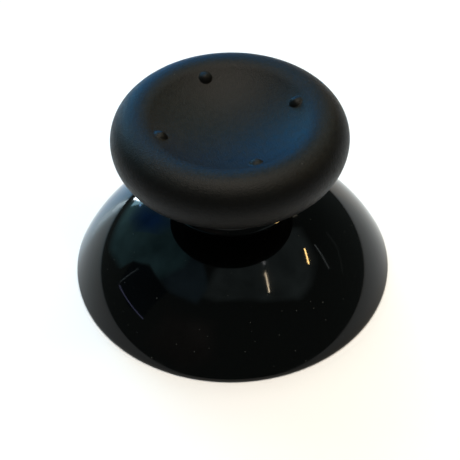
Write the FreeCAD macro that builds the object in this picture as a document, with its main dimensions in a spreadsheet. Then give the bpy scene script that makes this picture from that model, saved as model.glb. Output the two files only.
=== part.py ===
import FreeCAD, Part
import os

import Sketcher

# Push-on cap of a thumb-operated controller stick, standing on the open rim of its skirt.
# Millimetres. The origin is the centre of the rim, +Z points up through the head, and the raised
# dots of the thumb dish and the flats of the socket are in line with X and Y.
#
# Two pieces: a hard plastic moulding (domed skirt, neck, head disc, socket boss) and the rubber
# grip that is moulded over the edge of its head disc.

# Driving sizes. Each stands for one size that can be chosen by itself.
SIZES = {
    # Domed skirt
    "skirt_radius": 14.0,       # outside radius of the open rim
    "rim_land": 0.2,            # upright edge of the rim, where the two halves of the mould meet
    "dome_drop": 6.9,           # the dome is part of a ball whose centre is this far under the rim
    "skirt_wall": 1.2,
    # Neck and head disc
    "neck_radius": 4.8,
    "neck_height": 4.7,         # from the dome to the underside of the head, at the neck's radius
    "neck_blend": 1.0,          # hollow curve where the neck leaves the dome
    "disc_radius": 8.4,
    "disc_thickness": 1.1,
    "disc_undercut": 0.5,       # the disc's lower edge tapers in by this much and holds the rubber
    "undercut_rise": 0.6,       # height of that taper
    # Socket boss under the dome
    "boss_recess": 1.8,         # the boss ends this far above the rim
    "boss_wall": 1.4,           # wall round the widest part of the socket
    "socket_radius": 2.0,       # round sides of the socket
    "socket_flats": 3.0,        # width between the two flats
    "socket_depth": 7.0,
    "socket_lead_in": 0.3,      # bevel at the socket's mouth
    # Gussets between the boss and the dome
    "gusset_count": 4,
    "gusset_thickness": 0.8,
    "gusset_reach": 2.6,        # how far a gusset runs out from the boss
    "gusset_sunk": 0.4,         # how far a gusset is sunk into the boss
    "boss_bare": 2.7,           # length of boss left bare under the gussets
    # Rubber grip
    "rubber_wall": 1.3,         # rubber outside the disc's edge
    "rubber_floor": 1.0,        # rubber under the middle of the thumb dish
    "side_height": 1.7,         # the grip is widest at this height above its underside
    "side_round": 2.9,          # radius of the side below the widest place
    "lip_round": 0.4,           # rounding of the side's lower edge
    "crest_round": 2.3,         # radius of the rounded crest round the dish
    # Raised dots of the thumb dish
    "dot_count": 4,
    "dot_circle_radius": 5.75,
    "dot_radius": 0.52,         # radius of the ball that each dot is part of
    "dot_height": 0.38,         # how far a dot stands up from the dish
}

# Sizes that follow from the driving ones, as expressions on the sheet.
DOME_RADIUS = "sqrt(Sizes.skirt_radius ^ 2 + (Sizes.dome_drop + Sizes.rim_land) ^ 2)"
INNER_DOME_RADIUS = f"({DOME_RADIUS} - Sizes.skirt_wall)"
GUSSET_TOP_RADIUS = f"({DOME_RADIUS} - Sizes.skirt_wall / 2)"
NECK_FOOT = f"sqrt({DOME_RADIUS} ^ 2 - Sizes.neck_radius ^ 2) - Sizes.dome_drop"
UNDERSIDE = f"({NECK_FOOT} + Sizes.neck_height)"
BOSS_RADIUS = "(Sizes.socket_radius + Sizes.boss_wall)"
GUSSET_FOOT = "(Sizes.boss_recess + Sizes.boss_bare)"
HEAD_RADIUS = "(Sizes.disc_radius + Sizes.rubber_wall)"
DISC_FOOT_RADIUS = "(Sizes.disc_radius - Sizes.disc_undercut)"
DISH_FLOOR = "(Sizes.disc_thickness + Sizes.rubber_floor)"
DISH_RADIUS = "(GripProfile.Constraints.dish_radius / 1 mm)"

CLOSE = 1e-3  # how closely an edge has to match the place where it is looked for
START, END, CENTRE = range(1, 4)  # the points of a sketched line or arc
SKETCH_ORIGIN = (-1, 1)
ACROSS_AXIS, UPRIGHT_AXIS = range(-1, -3, -1)

doc = FreeCAD.newDocument("ThumbStickCap")


def make_sheet():
    sheet = doc.addObject("Spreadsheet::Sheet", "Sizes")
    for row, (name, size) in enumerate(SIZES.items(), start=1):
        sheet.set(f"A{row}", name.replace("_", " "))
        sheet.set(f"B{row}", str(size))
        sheet.setAlias(f"B{row}", name)
    doc.recompute()
    return sheet


sheet = make_sheet()


def value(expression):
    return float(sheet.evalExpression(expression))


def size(name):
    return value(f"Sizes.{name}")


def make_body(name):
    body = doc.addObject("PartDesign::Body", name)
    body.Label = name
    return body


def origin_feature(body, role):
    return next(item for item in body.Origin.OriginFeatures if item.Role == role)


def make_sketch(body, name, role="XZ_Plane"):
    sketch = body.newObject("Sketcher::SketchObject", name)
    sketch.AttachmentSupport = [(origin_feature(body, role), "")]
    sketch.MapMode = "FlatFace"
    return sketch


def line(sketch, start, end):
    segment = Part.LineSegment(FreeCAD.Vector(*start, 0), FreeCAD.Vector(*end, 0))
    return sketch.addGeometry(segment, False)


def arc(sketch, centre, start, end):
    # Runs anticlockwise from start to end.
    middle = FreeCAD.Vector(*centre, 0)
    turns = []
    for place in (start, end):
        arm = FreeCAD.Vector(*place, 0) - middle
        turn = FreeCAD.Vector(1, 0, 0).getAngle(arm)
        turns.append(turn if arm.y >= 0 else -turn)
    radius = (FreeCAD.Vector(*start, 0) - middle).Length
    circle = Part.Circle(middle, FreeCAD.Vector(0, 0, 1), radius)
    return sketch.addGeometry(Part.ArcOfCircle(circle, turns[0], turns[1]), False)


def toward(start, end, distance):
    # The point at this distance from start, on the line through end.
    across, up = end[0] - start[0], end[1] - start[1]
    share = distance / (across ** 2 + up ** 2) ** 0.5
    return (start[0] + across * share, start[1] + up * share)


def other_side(slant, side):
    return (slant ** 2 - side ** 2) ** 0.5


def join(sketch, kind, *pairs):
    # "Coincident" joins ends at a corner, "Tangent" joins them without one.
    for first, second in pairs:
        sketch.addConstraint(Sketcher.Constraint(kind, *first, *second))


def bind(sketch, kind, places, expression):
    # Adds one dimension that keeps to the sheet.
    index = sketch.addConstraint(Sketcher.Constraint(kind, *places, value(expression)))
    sketch.setExpression(f"Constraints[{index}]", expression)


def pin(sketch, place, across=None, up=None):
    # Holds a point at its distances from the origin. None leaves a direction free, and 0 puts
    # the point on the axis.
    for kind, axis, expression in (
        ("DistanceX", UPRIGHT_AXIS, across),
        ("DistanceY", ACROSS_AXIS, up),
    ):
        if expression == 0:
            sketch.addConstraint(Sketcher.Constraint("PointOnObject", *place, axis))
        elif expression is not None:
            bind(sketch, kind, (*SKETCH_ORIGIN, *place), expression)


def centre_dome(sketch, curve):
    # The ball's centre is on the axis, under the rim.
    pin(sketch, (curve, CENTRE), across=0)
    bind(sketch, "DistanceY", (curve, CENTRE, *SKETCH_ORIGIN), "Sizes.dome_drop")


def keep_direction(sketch, level=(), upright=()):
    for kind, lines in (("Horizontal", level), ("Vertical", upright)):
        for item in lines:
            sketch.addConstraint(Sketcher.Constraint(kind, item))


def turn_round(body, sketch, name, kind="PartDesign::Revolution"):
    feature = body.newObject(kind, name)
    feature.Profile = sketch
    feature.ReferenceAxis = (sketch, ["V_Axis"])
    feature.Angle = 360
    doc.recompute()
    return feature


def cut_volume(before, feature):
    if feature.Shape.Volume >= before:
        raise RuntimeError(f"{feature.Name} cut nothing")


def repeat_round(body, feature, name, count_name):
    pattern = body.newObject("PartDesign::PolarPattern", name)
    pattern.Originals = [feature]
    pattern.Axis = (origin_feature(body, "Z_Axis"), [""])
    pattern.Angle = 360
    pattern.setExpression("Occurrences", f"Sizes.{count_name}")
    body.Tip = pattern
    doc.recompute()
    return pattern


def outer_form(body):
    # Dome, neck and head disc as one turned outline.
    skirt = size("skirt_radius")
    land = size("rim_land")
    ball = (0, -size("dome_drop"))
    ball_radius = value(DOME_RADIUS)
    neck = size("neck_radius")
    blend = size("neck_blend")
    blend_centre = (neck + blend, other_side(ball_radius + blend, neck + blend) + ball[1])
    blend_end = toward(ball, blend_centre, ball_radius)
    under = value(UNDERSIDE)
    disc = size("disc_radius")
    disc_foot = value(DISC_FOOT_RADIUS)
    taper_top = under + size("undercut_rise")
    top = under + size("disc_thickness")

    sketch = make_sketch(body, "OuterProfile")
    base = line(sketch, (0, 0), (skirt, 0))
    rim = line(sketch, (skirt, 0), (skirt, land))
    dome = arc(sketch, ball, (skirt, land), blend_end)
    neck_foot = arc(sketch, blend_centre, (neck, blend_centre[1]), blend_end)
    neck_side = line(sketch, (neck, blend_centre[1]), (neck, under))
    disc_under = line(sketch, (neck, under), (disc_foot, under))
    taper = line(sketch, (disc_foot, under), (disc, taper_top))
    disc_edge = line(sketch, (disc, taper_top), (disc, top))
    disc_top = line(sketch, (disc, top), (0, top))
    middle = line(sketch, (0, top), (0, 0))
    join(
        sketch,
        "Tangent",
        ((dome, END), (neck_foot, END)),
        ((neck_foot, START), (neck_side, START)),
    )
    join(
        sketch,
        "Coincident",
        ((base, END), (rim, START)),
        ((rim, END), (dome, START)),
        ((neck_side, END), (disc_under, START)),
        ((disc_under, END), (taper, START)),
        ((taper, END), (disc_edge, START)),
        ((disc_edge, END), (disc_top, START)),
        ((disc_top, END), (middle, START)),
        ((middle, END), (base, START)),
        ((base, START), SKETCH_ORIGIN),
    )
    keep_direction(sketch, (base, disc_under, disc_top), (rim, neck_side, disc_edge, middle))
    centre_dome(sketch, dome)
    pin(sketch, (rim, END), across="Sizes.skirt_radius", up="Sizes.rim_land")
    bind(sketch, "Radius", (neck_foot,), "Sizes.neck_blend")
    pin(sketch, (neck_side, START), across="Sizes.neck_radius")
    pin(sketch, (disc_under, END), across=DISC_FOOT_RADIUS, up=UNDERSIDE)
    bind(sketch, "DistanceY", (taper, START, taper, END), "Sizes.undercut_rise")
    pin(sketch, (taper, END), across="Sizes.disc_radius")
    bind(sketch, "DistanceY", (disc_under, END, disc_edge, END), "Sizes.disc_thickness")
    return turn_round(body, sketch, "OuterForm")


def skirt_hollow(body, form):
    # Ring-shaped hollow between the dome and the boss, open at the rim.
    ball = (0, -size("dome_drop"))
    inner = value(INNER_DOME_RADIUS)
    mouth = other_side(inner, ball[1])
    boss = value(BOSS_RADIUS)
    roof = other_side(inner, boss) + ball[1]
    recess = size("boss_recess")

    sketch = make_sketch(body, "HollowProfile")
    rim = line(sketch, (0, 0), (mouth, 0))
    dome = arc(sketch, ball, (mouth, 0), (boss, roof))
    boss_side = line(sketch, (boss, roof), (boss, recess))
    boss_end = line(sketch, (boss, recess), (0, recess))
    middle = line(sketch, (0, recess), (0, 0))
    join(
        sketch,
        "Coincident",
        ((rim, END), (dome, START)),
        ((dome, END), (boss_side, START)),
        ((boss_side, END), (boss_end, START)),
        ((boss_end, END), (middle, START)),
        ((middle, END), (rim, START)),
        ((rim, START), SKETCH_ORIGIN),
    )
    keep_direction(sketch, (rim, boss_end), (boss_side, middle))
    centre_dome(sketch, dome)
    bind(sketch, "Radius", (dome,), INNER_DOME_RADIUS)
    pin(sketch, (boss_side, END), across=BOSS_RADIUS, up="Sizes.boss_recess")
    before = form.Shape.Volume
    cut_volume(before, turn_round(body, sketch, "SkirtHollow", "PartDesign::Groove"))


def post_socket(body):
    # Blind socket with two flats, so that the cap can't turn on its post.
    radius = size("socket_radius")
    half = size("socket_flats") / 2
    reach = other_side(radius, half)

    sketch = make_sketch(body, "SocketShape", "XY_Plane")
    sketch.setExpression("AttachmentOffset.Base.z", "Sizes.boss_recess")
    right = arc(sketch, (0, 0), (reach, -half), (reach, half))
    back = line(sketch, (reach, half), (-reach, half))
    left = arc(sketch, (0, 0), (-reach, half), (-reach, -half))
    front = line(sketch, (-reach, -half), (reach, -half))
    join(
        sketch,
        "Coincident",
        ((right, CENTRE), SKETCH_ORIGIN),
        ((left, CENTRE), SKETCH_ORIGIN),
        ((right, END), (back, START)),
        ((back, END), (left, START)),
        ((left, END), (front, START)),
        ((front, END), (right, START)),
    )
    keep_direction(sketch, (back, front))
    bind(sketch, "Radius", (right,), "Sizes.socket_radius")
    pin(sketch, (back, START), up="Sizes.socket_flats / 2")
    bind(sketch, "DistanceY", (front, END, *SKETCH_ORIGIN), "Sizes.socket_flats / 2")

    before = body.Tip.Shape.Volume
    pocket = body.newObject("PartDesign::Pocket", "PostSocket")
    pocket.Profile = sketch
    pocket.Reversed = True
    pocket.setExpression("Length", "Sizes.socket_depth")
    doc.recompute()
    cut_volume(before, pocket)

    lead_in = body.newObject("PartDesign::Chamfer", "SocketLeadIn")
    lead_in.Base = (pocket, socket_mouth(pocket.Shape))
    lead_in.setExpression("Size", "Sizes.socket_lead_in")
    doc.recompute()


def socket_mouth(shape):
    # Names of the edges round the socket, in the plane of the boss's end.
    level = size("boss_recess")
    names = []
    for number, edge in enumerate(shape.Edges, start=1):
        box = edge.BoundBox
        flat = abs(box.ZMin - level) < CLOSE and abs(box.ZMax - level) < CLOSE
        if flat and max(box.XMax, -box.XMin) < size("socket_radius") + CLOSE:
            names.append(f"Edge{number}")
    return names


def gussets(body):
    # Thin gussets stand midway between X and Y. Their top follows the middle of the dome's wall.
    ball = (0, -size("dome_drop"))
    top_radius = value(GUSSET_TOP_RADIUS)
    boss = value(BOSS_RADIUS)
    sunk = boss - size("gusset_sunk")
    low = value(GUSSET_FOOT)
    tip = boss + size("gusset_reach")
    tip_end = (tip, other_side(top_radius, tip) + ball[1])
    sunk_end = (sunk, other_side(top_radius, sunk) + ball[1])

    sketch = make_sketch(body, "GussetProfile")
    half_step = FreeCAD.Rotation(FreeCAD.Vector(0, 1, 0), 180 / size("gusset_count"))
    sketch.AttachmentOffset = FreeCAD.Placement(FreeCAD.Vector(0, 0, 0), half_step)
    foot = line(sketch, (sunk, low), (boss, low))
    slope = line(sketch, (boss, low), tip_end)
    top = arc(sketch, ball, tip_end, sunk_end)
    inside = line(sketch, sunk_end, (sunk, low))
    join(
        sketch,
        "Coincident",
        ((foot, END), (slope, START)),
        ((slope, END), (top, START)),
        ((top, END), (inside, START)),
        ((inside, END), (foot, START)),
    )
    keep_direction(sketch, (foot,), (inside,))
    pin(sketch, (foot, START), across=f"{BOSS_RADIUS} - Sizes.gusset_sunk")
    pin(sketch, (foot, END), across=BOSS_RADIUS, up=GUSSET_FOOT)
    centre_dome(sketch, top)
    bind(sketch, "Radius", (top,), GUSSET_TOP_RADIUS)
    pin(sketch, (top, START), across=f"{BOSS_RADIUS} + Sizes.gusset_reach")

    pad = body.newObject("PartDesign::Pad", "Gusset")
    pad.Profile = sketch
    pad.Midplane = True
    pad.setExpression("Length", "Sizes.gusset_thickness")
    doc.recompute()
    repeat_round(body, pad, "Gussets", "gusset_count")


def make_stick_body():
    body = make_body("stick_body")
    skirt_hollow(body, outer_form(body))
    post_socket(body)
    gussets(body)
    return body


def grip_form(body):
    # Section of the rubber: lip, side, crest and dish outside, the seat of the disc inside.
    head = value(HEAD_RADIUS)
    side_height = size("side_height")
    side_round = size("side_round")
    side_centre = (head - side_round, side_height)
    lip_round = size("lip_round")
    lip_reach = other_side(side_round - lip_round, side_height - lip_round)
    lip_centre = (side_centre[0] + lip_reach, lip_round)
    lip_end = toward(side_centre, lip_centre, side_round)
    crest_round = size("crest_round")
    crest_centre = (head - crest_round, side_height)
    floor = value(DISH_FLOOR)
    depth = side_height + crest_round - floor
    dish_radius = crest_centre[0] ** 2 / (2 * depth) + depth / 2 - crest_round
    dish_centre = (0, floor + dish_radius)
    dish_end = toward(dish_centre, crest_centre, dish_radius)
    disc = size("disc_radius")
    disc_foot = value(DISC_FOOT_RADIUS)
    taper_top = size("undercut_rise")
    seat = size("disc_thickness")

    sketch = make_sketch(body, "GripProfile")
    lip_under = line(sketch, (disc_foot, 0), (lip_centre[0], 0))
    lip = arc(sketch, lip_centre, (lip_centre[0], 0), lip_end)
    side = arc(sketch, side_centre, lip_end, (head, side_height))
    crest = arc(sketch, crest_centre, (head, side_height), dish_end)
    dish = arc(sketch, dish_centre, (0, floor), dish_end)
    middle = line(sketch, (0, floor), (0, seat))
    seat_top = line(sketch, (0, seat), (disc, seat))
    seat_side = line(sketch, (disc, seat), (disc, taper_top))
    seat_taper = line(sketch, (disc, taper_top), (disc_foot, 0))
    join(
        sketch,
        "Tangent",
        ((lip_under, END), (lip, START)),
        ((lip, END), (side, START)),
        ((side, END), (crest, START)),
        ((crest, END), (dish, END)),
    )
    join(
        sketch,
        "Coincident",
        ((dish, START), (middle, START)),
        ((middle, END), (seat_top, START)),
        ((seat_top, END), (seat_side, START)),
        ((seat_side, END), (seat_taper, START)),
        ((seat_taper, END), (lip_under, START)),
    )
    keep_direction(sketch, (lip_under, seat_top), (middle, seat_side))
    pin(sketch, (lip_under, START), across=DISC_FOOT_RADIUS, up=0)
    bind(sketch, "Radius", (lip,), "Sizes.lip_round")
    bind(sketch, "Radius", (side,), "Sizes.side_round")
    bind(sketch, "Radius", (crest,), "Sizes.crest_round")
    pin(sketch, (side, CENTRE), up="Sizes.side_height")
    pin(sketch, (side, END), across=HEAD_RADIUS, up="Sizes.side_height")
    pin(sketch, (dish, CENTRE), across=0)
    pin(sketch, (dish, START), across=0, up=DISH_FLOOR)
    pin(sketch, (seat_top, END), across="Sizes.disc_radius", up="Sizes.disc_thickness")
    pin(sketch, (seat_side, END), up="Sizes.undercut_rise")
    measured = sketch.addConstraint(Sketcher.Constraint("Radius", dish, dish_radius))
    sketch.renameConstraint(measured, "dish_radius")
    sketch.setDriving(measured, False)
    turn_round(body, sketch, "GripForm")


def raised_dots(body):
    # Each dot is a ball sunk square into the dish. Its centre lies on a ball round the dish's centre.
    ball_circle = f"({DISH_RADIUS} + Sizes.dot_radius - Sizes.dot_height)"
    across = f"Sizes.dot_circle_radius * {ball_circle} / {DISH_RADIUS}"
    dot = body.newObject("PartDesign::AdditiveSphere", "Dot")
    dot.AttachmentSupport = [(origin_feature(body, "XY_Plane"), "")]
    dot.MapMode = "FlatFace"
    dot.setExpression("Radius", "Sizes.dot_radius")
    dot.setExpression("AttachmentOffset.Base.x", across)
    dot.setExpression(
        "AttachmentOffset.Base.z",
        f"{DISH_FLOOR} + {DISH_RADIUS} - sqrt({ball_circle} ^ 2 - ({across}) ^ 2)",
    )
    doc.recompute()
    repeat_round(body, dot, "Dots", "dot_count")


def make_thumb_grip():
    body = make_body("thumb_grip")
    body.setExpression("Placement.Base.z", UNDERSIDE)
    grip_form(body)
    raised_dots(body)
    return body


def check_document(bodies):
    doc.recompute()
    for item in doc.Objects:
        if "Invalid" in item.State or "Error" in item.State:
            raise RuntimeError(f"{item.Name} failed: {item.State}")
    for body in bodies:
        shape = body.Shape
        if shape.isNull() or not shape.isValid() or len(shape.Solids) != 1:
            raise RuntimeError(f"{body.Label} is not one sound solid")


def write_parts(bodies):
    os.makedirs("parts", exist_ok=True)
    for body in bodies:
        body.Shape.exportStep(os.path.join("parts", f"{body.Label}.step"))
        print(f"{body.Label}: {body.Shape.Volume:.1f} mm3")


pieces = [make_stick_body(), make_thumb_grip()]
check_document(pieces)
write_parts(pieces)
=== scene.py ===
import math

import bmesh
import bpy
from mathutils import Matrix, Vector


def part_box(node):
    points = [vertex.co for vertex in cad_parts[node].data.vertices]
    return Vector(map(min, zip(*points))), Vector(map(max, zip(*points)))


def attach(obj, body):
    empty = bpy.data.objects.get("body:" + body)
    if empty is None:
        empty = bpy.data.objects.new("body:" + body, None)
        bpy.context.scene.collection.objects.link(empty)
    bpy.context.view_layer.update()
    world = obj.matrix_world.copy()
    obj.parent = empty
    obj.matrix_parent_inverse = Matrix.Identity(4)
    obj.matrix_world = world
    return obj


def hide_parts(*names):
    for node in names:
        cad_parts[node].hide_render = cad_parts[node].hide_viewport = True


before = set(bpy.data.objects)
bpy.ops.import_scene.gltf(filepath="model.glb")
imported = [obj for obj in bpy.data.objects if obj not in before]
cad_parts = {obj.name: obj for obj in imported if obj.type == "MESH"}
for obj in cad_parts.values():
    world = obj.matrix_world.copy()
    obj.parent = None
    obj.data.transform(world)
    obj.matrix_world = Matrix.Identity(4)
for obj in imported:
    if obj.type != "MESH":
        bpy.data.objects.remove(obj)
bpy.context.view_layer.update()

mm = 0.001
tinyLength = 1e-5              # mm, under which two points count as one


# Helpers shared by every piece

def linearColour(hexCode):
    # sRGB hex to the linear values that the shaders want, opaque
    channels = [int(hexCode[i:i + 2], 16) / 255 for i in (1, 3, 5)]
    return (*[c / 12.92 if c <= 0.04045 else ((c + 0.055) / 1.055) ** 2.4 for c in channels], 1)


def arcPoints(centre, radius, startTurn, endTurn, steps):
    # Points of an arc, turns in degrees, anticlockwise when endTurn is the larger
    turns = [math.radians(startTurn + (endTurn - startTurn) * i / steps) for i in range(steps + 1)]
    return [(centre[0] + radius * math.cos(t), centre[1] + radius * math.sin(t)) for t in turns]


def linePoints(start, end, steps):
    # Points of a straight run, both ends among them
    return [(start[0] + (end[0] - start[0]) * i / steps, start[1] + (end[1] - start[1]) * i / steps)
            for i in range(steps + 1)]


def turnOf(centre, point):
    # Degrees anticlockwise from straight out
    return math.degrees(math.atan2(point[1] - centre[1], point[0] - centre[0]))


def otherSide(slant, side):
    # The third side of a right-angled triangle
    return math.sqrt(slant ** 2 - side ** 2)


def trimRepeats(outline):
    # Leaves out a point that repeats the one before it, where two stretches meet
    kept = [outline[0]]
    for point in outline[1:]:
        if math.dist(point, kept[-1]) > tinyLength:
            kept.append(point)
    return kept


def finishMesh(work, name, closed=True):
    # Turns a closed form's faces outwards, then writes the mesh out
    if closed:
        bmesh.ops.recalc_face_normals(work, faces=work.faces)
    mesh = bpy.data.meshes.new(name)
    work.to_mesh(mesh)
    work.free()
    return mesh


def addWall(work, lower, upper):
    # Faces between two closed rings of as many points
    for i in range(len(lower)):
        j = (i + 1) % len(lower)
        work.faces.new((lower[i], lower[j], upper[j], upper[i]))


def latheMesh(name, outline, segments, lift=None):
    # Turns an outline of (radius, height) in mm round Z; its two ends lie on the axis
    work = bmesh.new()
    rings = []
    for radius, height in outline:
        if radius < tinyLength:
            rings.append([work.verts.new((0, 0, height * mm))])
            continue
        ring = []
        for i in range(segments):
            turn = 2 * math.pi * i / segments
            place = Vector((radius * math.cos(turn), radius * math.sin(turn), height))
            if lift:
                place = lift(place)
            ring.append(work.verts.new(place * mm))
        rings.append(ring)
    for lower, upper in zip(rings, rings[1:]):
        if len(lower) == len(upper):
            addWall(work, lower, upper)
            continue
        for i in range(segments):
            j = (i + 1) % segments
            if len(lower) == 1:
                work.faces.new((lower[0], upper[j], upper[i]))
            else:
                work.faces.new((lower[i], lower[j], upper[0]))
    return finishMesh(work, name)


def addObject(name, mesh):
    piece = bpy.data.objects.new(name, mesh)
    bpy.context.scene.collection.objects.link(piece)
    return piece


def combine(piece, tool, operation):
    # Applies a boolean and throws the tool away
    step = piece.modifiers.new(operation.lower(), "BOOLEAN")
    step.operation = operation
    step.solver = "EXACT"
    step.object = tool
    graph = bpy.context.evaluated_depsgraph_get()
    graph.update()
    mesh = bpy.data.meshes.new_from_object(piece.evaluated_get(graph))
    piece.modifiers.clear()
    old, piece.data = piece.data, mesh
    mesh.name = old.name
    bpy.data.meshes.remove(old)
    bpy.data.objects.remove(tool)


def smoothMesh(piece, sharpAngle):
    # Smooth shading, but for edges that turn by more than this many degrees
    piece.data.shade_smooth()
    piece.data.set_sharp_from_angle(angle=math.radians(sharpAngle))


def addNode(tree, kind, settings=None, links=None):
    # Settings are the node's own properties or its inputs' values; links are input: output socket
    node = tree.nodes.new(kind)
    for key, setting in (settings or {}).items():
        if isinstance(key, int) or key in node.inputs:
            node.inputs[key].default_value = setting
        else:
            setattr(node, key, setting)
    for key, socket in (links or {}).items():
        tree.links.new(socket, node.inputs[key])
    return node


def newMaterial(name):
    # A material with one Principled shader, whose sockets the caller fills
    material = bpy.data.materials.new(name)
    material.use_nodes = True
    tree = material.node_tree
    tree.nodes.clear()
    shader = addNode(tree, "ShaderNodeBsdfPrincipled")
    addNode(tree, "ShaderNodeOutputMaterial", links={"Surface": shader.outputs["BSDF"]})
    return material, tree, shader


# Stick body: one hard moulding

stickSizes = {  # mm
    "rimLand": 0.2,
    "rimSoftness": 0.07,       # mould edges are never quite sharp
    "domeDrop": 6.9,
    "wall": 1.2,
    "neckRadius": 4.8,
    "neckBlend": 1.0,
    "neckHeight": 4.7,
    "headBlend": 0.3,
    "discRadius": 8.4,
    "discUndercut": 0.5,
    "undercutRise": 0.6,       # the rubber grips the disc under this slope
    "discThickness": 1.1,
    "bossRadius": 3.4,
    "bossRecess": 1.8,
    "bossSoftness": 0.12,
    "bossRootBlend": 0.35,     # where the boss grows out of the dome
    "socketRadius": 2.0,
    "socketHalfFlats": 1.5,
    "socketDepth": 7.0,
    "socketLeadIn": 0.3,
    "socketStandOut": 0.1,     # by which the cutting tool stands out of the boss
    "gussetCount": 4,
    "gussetFirstTurn": 45,     # degrees
    "gussetThickness": 0.8,
    "gussetReach": 2.6,
    "gussetSunk": 0.4,         # by which a gusset starts inside the boss
    "gussetBare": 2.7,         # of the boss's end that stands clear of the gussets
    "sharpAngle": 35,          # degrees
    "segments": 288,           # round the axis
    "steps": {                 # facets along each stretch of the outline and of the tools
        "bossEnd": 8,
        "bossEdge": 4,
        "bossSide": 8,
        "bossRoot": 6,
        "hollow": 40,
        "rimLand": 3,
        "rimEdge": 4,
        "dome": 90,
        "neckFoot": 16,
        "neck": 12,
        "neckTop": 6,
        "underHead": 4,
        "discSide": 2,
        "discTop": 4,
        "socketRound": 24,
        "gussetTop": 8,
    },
}
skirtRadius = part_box("stick_body")[1][0] / mm
ballCentre = (0, -stickSizes["domeDrop"])
domeRadius = math.hypot(skirtRadius, stickSizes["domeDrop"] + stickSizes["rimLand"])
innerRadius = domeRadius - stickSizes["wall"]
underside = (otherSide(domeRadius, stickSizes["neckRadius"]) - stickSizes["domeDrop"]
             + stickSizes["neckHeight"])


def stickOutline(s):
    # From the boss's end, out through the hollow, round the rim and up to the top of the head disc
    boss, root, soft = s["bossRadius"], s["bossRootBlend"], s["bossSoftness"]
    steps = s["steps"]
    rootCentre = (boss + root, otherSide(innerRadius - root, boss + root) + ballCentre[1])
    mouth = otherSide(innerRadius, s["domeDrop"])
    rim = s["rimSoftness"]
    landEnd = (skirtRadius, s["rimLand"])
    blend = s["neckBlend"]
    neck = s["neckRadius"]
    blendCentre = (neck + blend, otherSide(domeRadius + blend, neck + blend) + ballCentre[1])
    headBlend = s["headBlend"]
    headCentre = (neck + headBlend, underside - headBlend)
    undercutFoot = (s["discRadius"] - s["discUndercut"], underside)
    undercutTop = (s["discRadius"], underside + s["undercutRise"])
    discTop = underside + s["discThickness"]
    rootTurn = turnOf(ballCentre, rootCentre)
    blendTurn = turnOf(ballCentre, blendCentre)
    return trimRepeats(
        linePoints((0, s["bossRecess"]), (boss - soft, s["bossRecess"]), steps["bossEnd"])
        + arcPoints((boss - soft, s["bossRecess"] + soft), soft, -90, 0, steps["bossEdge"])
        + linePoints((boss, s["bossRecess"] + soft), (boss, rootCentre[1]), steps["bossSide"])
        + arcPoints(rootCentre, root, 180, rootTurn, steps["bossRoot"])
        + arcPoints(ballCentre, innerRadius, rootTurn, turnOf(ballCentre, (mouth, 0)), steps["hollow"])
        + linePoints((mouth, 0), (skirtRadius - rim, 0), steps["rimLand"])
        + arcPoints((skirtRadius - rim, rim), rim, -90, 0, steps["rimEdge"])
        + arcPoints(ballCentre, domeRadius, turnOf(ballCentre, landEnd), blendTurn, steps["dome"])
        + arcPoints(blendCentre, blend, blendTurn + 180, 180, steps["neckFoot"])
        + linePoints((neck, blendCentre[1]), (neck, headCentre[1]), steps["neck"])
        + arcPoints(headCentre, headBlend, 180, 90, steps["neckTop"])
        + linePoints((headCentre[0], underside), undercutFoot, steps["underHead"])
        + linePoints(undercutTop, (s["discRadius"], discTop), steps["discSide"])
        + linePoints((s["discRadius"], discTop), (0, discTop), steps["discTop"])
    )


def socketTool(s):
    # Post with two flats, and a bevelled mouth that stands just under the boss's end
    radius, half, leadIn = s["socketRadius"], s["socketHalfFlats"], s["socketLeadIn"]
    standOut = s["socketStandOut"]
    steps = s["steps"]["socketRound"]

    def section(grow):
        # The flatted round, wider all round by grow
        reach = math.degrees(math.asin((half + grow) / (radius + grow)))
        right = arcPoints((0, 0), radius + grow, -reach, reach, steps)
        left = arcPoints((0, 0), radius + grow, 180 - reach, 180 + reach, steps)
        return right + left

    work = bmesh.new()
    levels = (  # growth of the section, height
        (leadIn + standOut, s["bossRecess"] - standOut),
        (0, s["bossRecess"] + leadIn),
        (0, s["bossRecess"] + s["socketDepth"]),
    )
    rings = [[work.verts.new((x * mm, y * mm, z * mm)) for x, y in section(grow)]
             for grow, z in levels]
    for lower, upper in zip(rings, rings[1:]):
        addWall(work, lower, upper)
    work.faces.new(rings[0])
    work.faces.new(rings[-1])
    return addObject("socketTool", finishMesh(work, "socketTool"))


def gussetTool(s, turn):
    # Thin blade from inside the boss to inside the dome's wall
    top = domeRadius - s["wall"] / 2
    sunk = s["bossRadius"] - s["gussetSunk"]
    tip = s["bossRadius"] + s["gussetReach"]
    low = s["bossRecess"] + s["gussetBare"]
    sunkTurn = math.degrees(math.acos(sunk / top))
    tipTurn = math.degrees(math.acos(tip / top))
    outline = [(sunk, low), (s["bossRadius"], low)]
    outline += arcPoints(ballCentre, top, tipTurn, sunkTurn, s["steps"]["gussetTop"])
    half = s["gussetThickness"] / 2
    work = bmesh.new()
    spin = Matrix.Rotation(turn, 3, "Z")
    sides = [[work.verts.new(spin @ Vector((x, y, z)) * mm) for x, z in outline]
             for y in (-half, half)]
    work.faces.new(sides[0])
    work.faces.new(sides[1])
    addWall(work, *sides)
    return addObject("gussetTool", finishMesh(work, "gussetTool"))


def buildStick(s):
    # Turned form first, then the gussets join it and the socket is cut out of it
    stick = addObject("stickMoulding", latheMesh("stickMoulding", stickOutline(s), s["segments"]))
    for i in range(s["gussetCount"]):
        turn = s["gussetFirstTurn"] + 360 * i / s["gussetCount"]
        combine(stick, gussetTool(s, math.radians(turn)), "UNION")
    combine(stick, socketTool(s), "DIFFERENCE")
    smoothMesh(stick, s["sharpAngle"])
    return stick


stick = buildStick(stickSizes)
print("Stick moulding built:", len(stick.data.polygons), "faces")


# Rubber grip: dish, crest, side, lip and four raised dots

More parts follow.
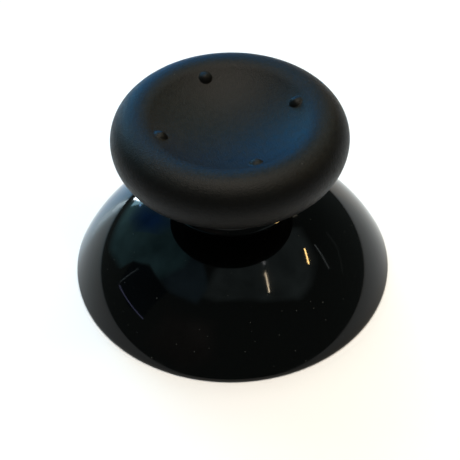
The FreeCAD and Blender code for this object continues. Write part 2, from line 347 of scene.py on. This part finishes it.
gripSizes = {  # mm
    "sideHeight": 1.7,
    "sideRound": 2.9,
    "lipRound": 0.4,
    "crestRound": 2.3,
    "rubberFloor": 1.0,
    "dotCircle": 5.75,
    "dotCount": 4,
    "dotRadius": 0.57,
    "dotHeight": 0.3,          # of the ball's cap that a dot is cut from
    "capShare": 0.92,          # of the cap that shows above the foot
    "dotBlend": 0.2,           # width of the soft foot where a dot leaves the dish
    "footHeight": 0.09,        # of the foot, at the dot's middle
    "sharpAngle": 50,          # degrees
    "segments": 640,           # round the axis, fine enough for the dots
    "steps": {                 # facets along each stretch of the outline
        "seatTop": 3,
        "seatSide": 2,
        "seatUndercut": 2,
        "lipFlat": 3,
        "lipEdge": 6,
        "side": 12,
        "crest": 40,
        "dish": 24,
        "insideDots": 26,
    },
}
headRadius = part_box("thumb_grip")[1][0] / mm


def dishShape(g):
    # Centre and radius of the ball that the dish is cut from, tangent to the crest
    crest = headRadius - g["crestRound"]
    floor = underside + stickSizes["discThickness"] + g["rubberFloor"]
    depth = underside + g["sideHeight"] + g["crestRound"] - floor
    radius = crest ** 2 / (2 * depth) + depth / 2 - g["crestRound"]
    return (0, floor + radius), radius


def gripOutline(g):
    # From the middle of the seat on the disc, round the undercut, lip, side and crest, into the dish
    steps = g["steps"]
    sideCentre = (headRadius - g["sideRound"], underside + g["sideHeight"])
    lipReach = otherSide(g["sideRound"] - g["lipRound"], g["sideHeight"] - g["lipRound"])
    lipCentre = (sideCentre[0] + lipReach, underside + g["lipRound"])
    lipTurn = turnOf(sideCentre, lipCentre)
    crestCentre = (headRadius - g["crestRound"], sideCentre[1])
    dishCentre, dishRadius = dishShape(g)
    easeTurn = turnOf(crestCentre, dishCentre)
    seatFoot = (stickSizes["discRadius"] - stickSizes["discUndercut"], underside)
    seatSide = (stickSizes["discRadius"], underside + stickSizes["undercutRise"])
    seatTop = underside + stickSizes["discThickness"]
    nearDots = math.degrees(math.asin((g["dotCircle"] - g["dotRadius"] - g["dotBlend"]) / dishRadius))
    return trimRepeats(
        linePoints((0, seatTop), (seatSide[0], seatTop), steps["seatTop"])
        + linePoints((seatSide[0], seatTop), seatSide, steps["seatSide"])
        + linePoints(seatSide, seatFoot, steps["seatUndercut"])
        + linePoints(seatFoot, (lipCentre[0], underside), steps["lipFlat"])
        + arcPoints(lipCentre, g["lipRound"], -90, lipTurn, steps["lipEdge"])
        + arcPoints(sideCentre, g["sideRound"], lipTurn, 0, steps["side"])
        + arcPoints(crestCentre, g["crestRound"], 0, easeTurn, steps["crest"])
        + arcPoints(dishCentre, dishRadius, easeTurn - 180, nearDots - 90, steps["dish"])
        + arcPoints(dishCentre, dishRadius, nearDots - 90, -90, steps["insideDots"])
    )


def dotLift(g):
    # Raises the dish's surface into rounded dots, square to the dish
    dishCentre, dishRadius = dishShape(g)
    centre = Vector((0, 0, dishCentre[1]))
    ball = (g["dotRadius"] ** 2 + g["dotHeight"] ** 2) / (2 * g["dotHeight"])
    footEnd = g["dotRadius"] + g["dotBlend"]
    onDish = 1e-3              # mm from the dish's ball, within which a point belongs to it
    tilt = math.asin(g["dotCircle"] / dishRadius)
    places = []
    for i in range(g["dotCount"]):
        turn = 2 * math.pi * i / g["dotCount"]
        arm = Vector((math.sin(tilt) * math.cos(turn), math.sin(tilt) * math.sin(turn), -math.cos(tilt)))
        places.append(centre + arm * dishRadius)

    def rise(distance):
        if distance >= footEnd:
            return 0
        cap = 0
        if distance < g["dotRadius"]:
            cap = otherSide(ball, distance) - (ball - g["dotHeight"])
        # Soft foot: a small parabola that runs out at the blend's edge
        foot = g["footHeight"] * (1 - distance / footEnd) ** 2
        return max(cap, 0) * g["capShare"] + foot

    def lift(place):
        if abs((place - centre).length - dishRadius) > onDish:
            return place
        near = min((place - dot).length for dot in places)
        return place + (centre - place).normalized() * rise(near)

    return lift


grip = addObject("rubberGrip", latheMesh("rubberGrip", gripOutline(gripSizes),
                                         gripSizes["segments"], dotLift(gripSizes)))
smoothMesh(grip, gripSizes["sharpAngle"])
print("Rubber grip built:", len(grip.data.polygons), "faces")


# Materials

noiseSpread = (0.3, 0.7)       # the values that nearly all of a noise pattern lies between
coreShare = 0.4                # of a speck's or hairline's half width, within which it is at full strength

stickFinish = {
    "blackColour": "#050606",
    "refraction": 1.53,
    "specular": 0.2,
    "roughness": (0.03, 0.09), # clean gloss, and under a smudge
    "markRoughness": 0.4,      # added by dust and hairlines
    "dustColour": "#4b4d4b",
    "dustSpacing": 0.8,        # mm between specks
    "dustSize": 0.06,          # mm, the largest speck's radius
    "hairlineLength": 5,       # mm
    "hairlineWidth": 0.04,     # mm, coarser than the real 0.01 so that it shows
    "hairlineSpacing": 0.7,    # mm
    "hairlineTurns": (20, 65, 110, 155),  # degrees round the cap's axis
    "hairlineStrength": 0.6,   # beside a speck's 1
    "smudgeSize": 4,           # mm
    "smudgeSpread": (0.35, 0.7),  # the noise's values from clean to smudged
}


def dustMarks(tree, place, spacing, size):
    # Specks of differing strength, each where a cell's middle lies in the surface
    cells = addNode(tree, "ShaderNodeTexVoronoi", {"Scale": 1 / (spacing * mm)}, {"Vector": place})
    speck = addNode(tree, "ShaderNodeMapRange", {"From Min": size / spacing,
                                                 "From Max": size / spacing * coreShare},
                    {"Value": cells.outputs["Distance"]})
    chance = addNode(tree, "ShaderNodeSeparateColor", links={"Color": cells.outputs["Color"]})
    return addNode(tree, "ShaderNodeMath", {"operation": "MULTIPLY"},
                   {0: speck.outputs["Result"], 1: chance.outputs["Red"]}).outputs["Value"]


def polishedAbs(s):
    # ABS, injection moulded in a polished tool: deep black with a wet gloss that shows the room like
    # a mirror, broken by specks of dust, hairline scratches and faint smudges
    material, tree, shader = newMaterial("mouldedPolishedAbs")
    place = addNode(tree, "ShaderNodeTexCoord").outputs["Object"]
    marks = dustMarks(tree, place, s["dustSpacing"], s["dustSize"])
    # Hairlines: cells drawn out into upright sheets, one set for each way the cap was wiped
    half = s["hairlineWidth"] / s["hairlineSpacing"] / 2
    for turn in s["hairlineTurns"]:
        sheets = addNode(tree, "ShaderNodeMapping",
                         {"vector_type": "TEXTURE", "Rotation": (0, 0, math.radians(turn)),
                          "Scale": (s["hairlineLength"] * mm / half / 2, s["hairlineSpacing"] * mm, 1)},
                         {"Vector": place})
        cells = addNode(tree, "ShaderNodeTexVoronoi", {"Scale": 1}, {"Vector": sheets.outputs["Vector"]})
        line = addNode(tree, "ShaderNodeMapRange", {"From Min": half, "From Max": half * coreShare,
                                                    "To Max": s["hairlineStrength"]},
                       {"Value": cells.outputs["Distance"]})
        marks = addNode(tree, "ShaderNodeMath", {"operation": "MAXIMUM"},
                        {0: marks, 1: line.outputs["Result"]}).outputs["Value"]
    colour = addNode(tree, "ShaderNodeMix", {"data_type": "RGBA", 6: linearColour(s["blackColour"]),
                                             7: linearColour(s["dustColour"])}, {0: marks})
    tree.links.new(colour.outputs[2], shader.inputs["Base Color"])
    smudge = addNode(tree, "ShaderNodeTexNoise", {"Scale": 1 / (s["smudgeSize"] * mm), "Detail": 4,
                                                  "Roughness": 0.6}, {"Vector": place})
    gloss = addNode(tree, "ShaderNodeMapRange",
                    {"From Min": s["smudgeSpread"][0], "From Max": s["smudgeSpread"][1],
                     "To Min": s["roughness"][0], "To Max": s["roughness"][1]},
                    {"Value": smudge.outputs["Fac"]})
    roughness = addNode(tree, "ShaderNodeMath", {"operation": "MULTIPLY_ADD", 1: s["markRoughness"]},
                        {0: marks, 2: gloss.outputs["Result"]})
    tree.links.new(roughness.outputs["Value"], shader.inputs["Roughness"])
    shader.inputs["IOR"].default_value = s["refraction"]
    shader.inputs["Specular IOR Level"].default_value = s["specular"]
    return material


gripFinish = {
    "blackColour": "#0b0b0a",  # where no painted top light falls
    "topLitColour": "#141412", # painted light: what faces up is greyed, as if lit from above
    "topLitRise": (0.6, 0.97), # how far up a surface faces, from no painted top light to full
    "refraction": 1.5,
    "specular": 0.11,
    "roughness": (0.34, 0.52), # the mottle's strong patches, lighter in colour, are a little duller than bare ones
    "dustColour": "#504f4c",
    "dustSpacing": 1.1,        # mm between specks
    "dustSize": 0.06,          # mm, the largest speck's radius
    "mottleSize": 0.45,        # mm
    "mottleSpread": (0.36, 0.64),  # the noise's values from bare to full painted top light
    "mottleStrength": 1.8,     # share of the painted top-light colour, where the mottle is strongest
    "grainSize": 0.16,         # mm, the tool's blasted texture
    "grainDepth": 0.04,        # mm
}


def matteRubber(s):
    # Soft thermoplastic rubber, moulded in a blasted tool: flat black with a fine grain and a broad dull
    # sheen, with painted top light that greys what faces up, in mottled patches
    material, tree, shader = newMaterial("mouldedMatteRubber")
    coordinates = addNode(tree, "ShaderNodeTexCoord").outputs
    upward = addNode(tree, "ShaderNodeSeparateXYZ", links={"Vector": coordinates["Normal"]}).outputs["Z"]
    # Painted light: the more a surface faces up, the more of the lighter top-lit colour it gets
    upFacing = addNode(tree, "ShaderNodeMapRange",
                  {"From Min": s["topLitRise"][0], "From Max": s["topLitRise"][1],
                   "interpolation_type": "SMOOTHSTEP"}, {"Value": upward})
    mottle = addNode(tree, "ShaderNodeTexNoise", {"Scale": 1 / (s["mottleSize"] * mm), "Detail": 6,
                                                  "Roughness": 0.75},
                     {"Vector": coordinates["Object"]})
    patchy = addNode(tree, "ShaderNodeMapRange",
                     {"From Min": s["mottleSpread"][0], "From Max": s["mottleSpread"][1],
                      "To Max": s["mottleStrength"]}, {"Value": mottle.outputs["Fac"]})
    share = addNode(tree, "ShaderNodeMath", {"operation": "MULTIPLY"},
                    {0: upFacing.outputs["Result"], 1: patchy.outputs["Result"]})
    topLitMix = addNode(tree, "ShaderNodeMix", {"data_type": "RGBA", 6: linearColour(s["blackColour"]),
                                           7: linearColour(s["topLitColour"]),
                                           "clamp_factor": False},
                   {0: share.outputs["Value"]})
    specks = dustMarks(tree, coordinates["Object"], s["dustSpacing"], s["dustSize"])
    colour = addNode(tree, "ShaderNodeMix", {"data_type": "RGBA", 7: linearColour(s["dustColour"])},
                     {0: specks, 6: topLitMix.outputs[2]})
    tree.links.new(colour.outputs[2], shader.inputs["Base Color"])
    grain = addNode(tree, "ShaderNodeTexNoise", {"Scale": 1 / (s["grainSize"] * mm), "Detail": 3,
                                                 "Roughness": 0.7},
                    {"Vector": coordinates["Object"]})
    bump = addNode(tree, "ShaderNodeBump", {"Strength": 1, "Distance": s["grainDepth"] * mm},
                   {"Height": grain.outputs["Fac"]})
    tree.links.new(bump.outputs["Normal"], shader.inputs["Normal"])
    dull = addNode(tree, "ShaderNodeMapRange",
                   {"From Min": noiseSpread[0], "From Max": noiseSpread[1],
                    "To Min": s["roughness"][0], "To Max": s["roughness"][1]},
                   {"Value": mottle.outputs["Fac"]})
    tree.links.new(dull.outputs["Result"], shader.inputs["Roughness"])
    shader.inputs["IOR"].default_value = s["refraction"]
    shader.inputs["Specular IOR Level"].default_value = s["specular"]
    return material


stick.data.materials.append(polishedAbs(stickFinish))
grip.data.materials.append(matteRubber(gripFinish))
print("Materials made")

for piece, node, slot in ((stick, "stick_body", "stick_plastic"), (grip, "thumb_grip", "grip_rubber")):
    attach(piece, "root")
    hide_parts(node)
print("Pieces ride on the root body")


# Camera, found by fitting the outlines of the cap

cameraSet = {
    "turn": 19.68,             # degrees round from the front, towards the left
    "elevation": 42.9,
    "distance": 89.8,          # mm from the middle of the cap
    "middleHeight": 8.65,      # mm
    "aimRight": -0.147,        # mm, where the picture's centre falls beside the middle
    "aimUp": -3.615,
    "roll": -1.296,
    "lens": 82.63,             # mm
    "sensorWidth": 36,         # mm
    "clipStart": 5,            # mm
}


def addCamera(c):
    # Stands at the fitted place, looks a little beside the cap's middle, and rolls by a degree or so
    elevation = math.radians(c["elevation"])
    spin = Matrix.Rotation(math.radians(-c["turn"]), 3, "Z")
    middle = Vector((0, 0, c["middleHeight"]))
    back = spin @ Vector((0, -math.cos(elevation), math.sin(elevation)))
    side = spin @ Vector((1, 0, 0))
    eye = middle + back * c["distance"]
    aim = middle + side * c["aimRight"] + back.cross(side) * c["aimUp"]
    look = (aim - eye).normalized()
    right = look.cross(Vector((0, 0, 1))).normalized()
    right.rotate(Matrix.Rotation(math.radians(c["roll"]), 3, -look))
    up = right.cross(look)
    data = bpy.data.cameras.new("camera")
    data.sensor_width = c["sensorWidth"]
    data.lens = c["lens"]
    data.clip_start = c["clipStart"] * mm
    camera = bpy.data.objects.new("camera", data)
    bpy.context.scene.collection.objects.link(camera)
    camera.matrix_world = Matrix.Translation(eye * mm) @ Matrix((right, up, -look)).transposed().to_4x4()
    bpy.context.scene.camera = camera


addCamera(cameraSet)
print("Camera set")


# Stage: white floor, soft lamps, and cards that only the gloss shows. A direction is (turn, rise):
# degrees clockwise from straight behind the cap as the camera sees it, and degrees above the horizon.

stageSet = {
    "floorColour": "#fcfcff",
    "floorBeyondPoolColour": "#6e7170",  # painted pool of light: the floor greys away from the cap, as if lit only near it
    "lightPoolFade": (60, 350),    # mm from the cap, over which the painted pool of light fades out
    "floorRoughness": 0.34,
    "floorSpecular": 0.55,
    "floorRadius": 900,        # mm
    "floorSegments": 96,
    "floorGap": 0.02,          # mm under the rim, so that the two don't share a plane
    "roomColour": "#4d5452",
    "lampDistance": 600,       # mm
    "cardDistance": 800,       # mm
    "cardCloudSize": 250,      # mm, of the light and dark patches on a card
    "cardGlow": (0.6, 1.4),    # share of a card's brightness, from its dark patches to its light ones
}

# Brightness is the lamp's or card's own, 1 being white
softboxes = (
    # name, direction, width and height in degrees, brightness, colour
    ("overheadSoftbox", (0, 85), 32, 32, 8.5, "#fff3e4"),
    ("windowPane", (-37.5, 20), 7, 24, 5.0, "#b0e8ff"),
    ("windowSky", (-27, 18), 14, 26, 5.6, "#27b8ff"),
    ("windowSkyDim", (-12, 18), 16, 26, 4.3, "#109cff"),
    ("windowSkyFar", (6, 18), 18, 26, 1.0, "#10abff"),
    ("skyBlind", (-30, 42), 28, 18, 1.9, "#9cdcf0"),
    ("paleWall", (14, 40), 44, 16, 1.3, "#b4ffff"),
    ("paleWallRight", (38, 52), 20, 20, 1.4, "#fff6d8"),
    ("warmLamp", (26, 20), 18, 26, 0.9, "#ffc878"),
)
strips = (
    # name, its two ends, thickness in degrees, brightness, colour
    ("windowEdge", (-36.2, 5), (-38.4, 12.5), 1.3, 45, "#e4f6ff"),
    ("windowEdgeTail", (-38.4, 12.5), (-41.4, 20), 0.8, 16, "#b8deff"),
    ("windowSpot", (-41.2, 14.6), (-42.2, 16.6), 0.8, 8, "#8cc0ff"),
    ("goldStrip", (81, 44.8), (93, 41.1), 0.9, 84, "#ffd184"),
    ("paleStrip", (129.5, 62.8), (140.5, 51.4), 0.5, 62, "#ffe8c4"),
    ("thinStripLeft", (88, 72.8), (121, 66.2), 0.5, 14, "#ffffff"),
    ("thinStripRight", (75, 37.6), (87.6, 27.3), 0.4, 3, "#f4ffff"),
    ("screenEdgeLow", (-86, 13.2), (-114, 17), 0.45, 3.4, "#b8bcf4"),
    ("screenEdgeUp", (-85, 14.5), (-86, 29), 0.3, 2.2, "#d8ecf0"),
    ("shelfEdgeHigh", (63, 27), (70, 21.5), 0.5, 0.4, "#dfeae6"),
    ("shelfEdgeLow", (70, 21.5), (84, 17), 0.5, 0.3, "#dfeae6"),
)
cards = (
    # name, its corners, distance as a share of the others', softness of its edge, brightness, colour
    ("tealWall", ((-36, 3), (-60, 3), (-78, 15), (-79, 24), (-89, 37), (-106, 40), (-112, 58),
                  (-100, 66), (-73, 62), (-40, 48)), 1.0, 0.2, 1.15, "#7ab0b8"),
    ("windowReveal", ((-39, 12), (-48, 11), (-61, 23), (-70, 42), (-58, 54), (-43, 42)), 0.9, 0.75,
     0.95, "#4c8ee6"),
    ("tealWallFar", ((-94, 37), (-118, 40), (-146, 45), (-154, 58), (-120, 70), (-92, 64)), 1.02, 0.2,
     1.1, "#65808e"),
    ("darkScreen", ((-78, 26), (-84, 14), (-100, 13), (-114, 17), (-118, 41), (-89, 37)), 0.9, 0.08,
     1, "#1a2a38"),
    ("woodShelf", ((-118, 4), (-150, 0), (-172, 14), (-168, 40), (-124, 36)), 1.0, 0.5, 1.1, "#625c59"),
    ("ceiling", ((60, 42), (87, 34), (106, 33), (121, 34), (151, 47), (178, 52), (-160, 50),
                 (-146, 50), (-140, 70), (180, 78), (120, 76), (60, 62)), 1.0, 0.2, 1, "#98a8a8"),
)


def directionOf(turn, rise):
    bearing = math.radians(turn + cameraSet["turn"])
    lift = math.radians(rise)
    return Vector((math.sin(bearing) * math.cos(lift), math.cos(bearing) * math.cos(lift),
                   math.sin(lift)))


def addFloor(s):
    work = bmesh.new()
    bmesh.ops.create_circle(work, cap_ends=True, radius=s["floorRadius"] * mm,
                            segments=s["floorSegments"])
    mesh = finishMesh(work, "floor", closed=False)
    floor = addObject("floor", mesh)
    floor.location.z = -s["floorGap"] * mm
    # Satin white laminate: it reads as white and keeps the cap's soft shadow. Its colour greys away from
    # the cap, a painted pool of light.
    material, tree, shader = newMaterial("satinLaminate")
    place = addNode(tree, "ShaderNodeTexCoord").outputs["Object"]
    reach = addNode(tree, "ShaderNodeVectorMath", {"operation": "LENGTH"}, {0: place})
    near, far = s["lightPoolFade"]
    # Painted pool of light: white near the cap, grey further out
    fade = addNode(tree, "ShaderNodeMapRange", {"From Min": near * mm, "From Max": far * mm,
                                                "interpolation_type": "SMOOTHSTEP"},
                   {"Value": reach.outputs["Value"]})
    colour = addNode(tree, "ShaderNodeMix", {"data_type": "RGBA", 6: linearColour(s["floorColour"]),
                                             7: linearColour(s["floorBeyondPoolColour"])},
                     {0: fade.outputs["Result"]})
    tree.links.new(colour.outputs[2], shader.inputs["Base Color"])
    shader.inputs["Roughness"].default_value = s["floorRoughness"]
    shader.inputs["Specular IOR Level"].default_value = s["floorSpecular"]
    mesh.materials.append(material)


def addRoom(s):
    world = bpy.data.worlds.new("room")
    bpy.context.scene.world = world
    world.use_nodes = True
    world.node_tree.nodes["Background"].inputs["Color"].default_value = linearColour(s["roomColour"])


def addLamp(name, turn, rise, width, height, brightness, colour, lean=0):
    # A flat lamp that faces the cap; its sizes are degrees of the view from the cap, and lean turns
    # it in its own plane, in degrees
    distance = stageSet["lampDistance"] * mm
    data = bpy.data.lights.new(name, "AREA")
    data.shape = "RECTANGLE"
    data.size = 2 * distance * math.tan(math.radians(width / 2))
    data.size_y = 2 * distance * math.tan(math.radians(height / 2))
    # Watts that make the lamp's face glow at its brightness, whatever its size
    data.energy = brightness * math.pi * data.size * data.size_y
    data.color = linearColour(colour)[:3]
    lamp = bpy.data.objects.new(name, data)
    bpy.context.scene.collection.objects.link(lamp)
    away = directionOf(turn, rise)
    aside = away.cross(Vector((0, 0, 1))).normalized()
    facing = Matrix((aside, aside.cross(away), away)).transposed()
    spin = Matrix.Rotation(math.radians(lean), 4, "Z")
    lamp.matrix_world = Matrix.Translation(away * distance) @ facing.to_4x4() @ spin
    lamp.visible_camera = False


def addStrip(name, start, end, thickness, brightness, colour):
    # Narrow lamp between two directions
    first, last = directionOf(*start), directionOf(*end)
    middle = (first + last).normalized()
    rise = math.degrees(math.asin(middle.z))
    turn = math.degrees(math.atan2(middle.x, middle.y)) - cameraSet["turn"]
    aside = middle.cross(Vector((0, 0, 1))).normalized()
    above = aside.cross(middle)
    run = last - first
    lean = math.degrees(math.atan2(run.dot(above), run.dot(aside)))
    addLamp(name, turn, rise, math.degrees(first.angle(last)), thickness, brightness, colour, lean)


def addCard(name, corners, nearness, softness, brightness, colour):
    # Uneven glowing card that the camera doesn't see and the gloss does. Softness is how far its
    # fading edge reaches in, as a share of the way to its middle.
    work = bmesh.new()
    reach = stageSet["cardDistance"] * nearness * mm
    places = [directionOf(*corner) * reach for corner in corners]
    middle = sum(places, Vector()) / len(places)
    edge = [work.verts.new(place) for place in places]
    inner = [work.verts.new(place.lerp(middle, softness)) for place in places]
    work.faces.new(inner)
    addWall(work, edge, inner)
    bmesh.ops.triangulate(work, faces=work.faces)
    mesh = finishMesh(work, name, closed=False)
    fade = mesh.attributes.new("fade", "FLOAT", "POINT")
    for i in range(len(places)):
        fade.data[len(places) + i].value = 1
    card = addObject(name, mesh)
    card.visible_camera = False
    material = bpy.data.materials.new(name)
    material.use_nodes = True
    tree = material.node_tree
    tree.nodes.clear()
    share = addNode(tree, "ShaderNodeAttribute", {"attribute_name": "fade"})
    clear = addNode(tree, "ShaderNodeBsdfTransparent")
    place = addNode(tree, "ShaderNodeTexCoord").outputs["Object"]
    clouds = addNode(tree, "ShaderNodeTexNoise",
                     {"Scale": 1 / (stageSet["cardCloudSize"] * mm), "Detail": 3}, {"Vector": place})
    darkest, lightest = stageSet["cardGlow"]
    uneven = addNode(tree, "ShaderNodeMapRange",
                     {"From Min": noiseSpread[0], "From Max": noiseSpread[1],
                      "To Min": brightness * darkest, "To Max": brightness * lightest},
                     {"Value": clouds.outputs["Fac"]})
    glow = addNode(tree, "ShaderNodeEmission", {"Color": linearColour(colour)},
                   {"Strength": uneven.outputs["Result"]})
    both = addNode(tree, "ShaderNodeMixShader", links={0: share.outputs["Fac"], 1: clear.outputs["BSDF"],
                                                       2: glow.outputs["Emission"]})
    addNode(tree, "ShaderNodeOutputMaterial", links={"Surface": both.outputs["Shader"]})
    mesh.materials.append(material)


addFloor(stageSet)
addRoom(stageSet)
for name, direction, width, height, brightness, colour in softboxes:
    addLamp(name, *direction, width, height, brightness, colour)
for strip in strips:
    addStrip(*strip)
for card in cards:
    addCard(*card)
bpy.context.scene.view_settings.view_transform = "Standard"
print("Stage set")
